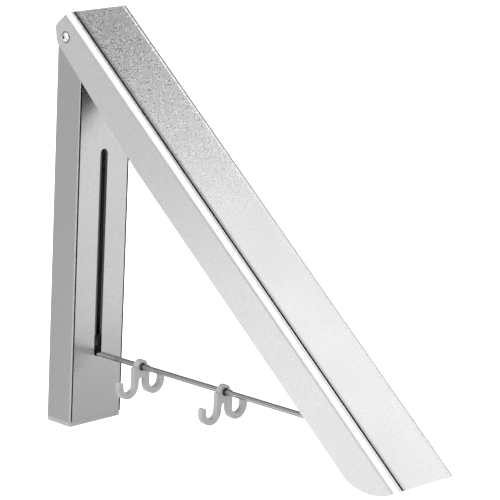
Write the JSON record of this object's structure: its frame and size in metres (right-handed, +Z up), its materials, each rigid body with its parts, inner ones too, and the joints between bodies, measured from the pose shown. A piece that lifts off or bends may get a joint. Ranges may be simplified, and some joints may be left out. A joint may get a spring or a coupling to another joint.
{
  "type": "wall mounted fold down drying rack",
  "caption": "Slim aluminium drying rack for a wall: a hinged channel arm propped open by a sliding rod that carries garment hooks, and folding flat down over its wall channel.",
  "frame": {"origin": "on the wall face, halfway between the two wall screws and on the rack's middle plane", "axes": "+X along the wall to the right as seen from the room, +Y into the wall, +Z up"},
  "size_m": [0.0505, 0.2692, 0.2396],
  "materials": {
    "anodised_aluminium": "fine sand blasted, clear anodised, satin",
    "arm_aluminium": "sand blasted, clear anodised, satin",
    "grey_plastic": "light grey moulded plastic",
    "hook_plastic": "light grey moulded plastic, slightly glossy",
    "black_nylon": "black moulded nylon",
    "chromed_rod": "bright chrome",
    "polished_steel": "polished steel",
    "zinc_steel": "zinc plated",
    "zinc_casting": "plain die cast zinc"
  },
  "bodies": {
    "wall_unit": {"wall_channel": "anodised_aluminium", "channel_end_cap": "grey_plastic", "end_cap_screws": "zinc_steel", "upper_wall_bracket": "zinc_casting", "lower_wall_bracket": "zinc_casting", "bracket_grub_screws": "zinc_steel", "hinge_bush_left": "black_nylon", "hinge_bush_right": "black_nylon"},
    "arm": {"arm_cover": "arm_aluminium", "hinge_pin": "polished_steel", "hinge_pin_collar": "polished_steel", "anchor_block": "black_nylon", "anchor_pin": "polished_steel", "anchor_grub_screw": "zinc_steel"},
    "rod": {"support_rod": "chromed_rod"},
    "slider": {"slider_block": "black_nylon", "rod_cross_pin": "polished_steel"},
    "hook_1_sleeve": {"hook_bush_1": "black_nylon"},
    "hook_1_body": {"hook_1": "hook_plastic"},
    "hook_2_sleeve": {"hook_bush_2": "black_nylon"},
    "hook_2_body": {"hook_2": "hook_plastic"}
  },
  "joints": [
    {"name": "arm_fold", "type": "hinge", "parent": "wall_unit", "child": "arm", "pos_m": [0, -0.0095, 0.12], "axis": [1, 0, 0], "range_deg": [0, 47.7]},
    {"name": "rod_fold", "type": "hinge", "parent": "arm", "child": "rod", "pos_m": [0, -0.23581, -0.06136], "axis": [1, 0, 0], "range_deg": [0, 39.44]},
    {"name": "slider_turn", "type": "hinge", "parent": "rod", "child": "slider", "pos_m": [0, -0.0134, -0.0645], "axis": [1, 0, 0], "range_deg": [-87.14, 0]},
    {"name": "hook_1_slide", "type": "slide", "parent": "rod", "child": "hook_1_sleeve", "axis": [0, -0.9999, 0.0141], "range_m": [0, 0.1289]},
    {"name": "hook_1_swing", "type": "hinge", "parent": "hook_1_sleeve", "child": "hook_1_body", "pos_m": [0, -0.0544, -0.06392], "axis": [0, 0.9999, -0.0141], "range_deg": [-30, 30]},
    {"name": "hook_2_slide", "type": "slide", "parent": "rod", "child": "hook_2_sleeve", "axis": [0, -0.9999, 0.0141], "range_m": [0, 0.0833]},
    {"name": "hook_2_swing", "type": "hinge", "parent": "hook_2_sleeve", "child": "hook_2_body", "pos_m": [0, -0.11999, -0.06299], "axis": [0, 0.9999, -0.0141], "range_deg": [-30, 30]}
  ],
  "couplings": [
    {"joint": "rod_fold", "follows": "arm_fold", "ratio": 0.82663},
    {"joint": "slider_turn", "follows": "arm_fold", "ratio": -1.8266},
    {"joint": "hook_1_slide", "follows": "arm_fold", "m_per_rad": 0.15423},
    {"joint": "hook_2_slide", "follows": "arm_fold", "m_per_rad": 0.099457}
  ]
}
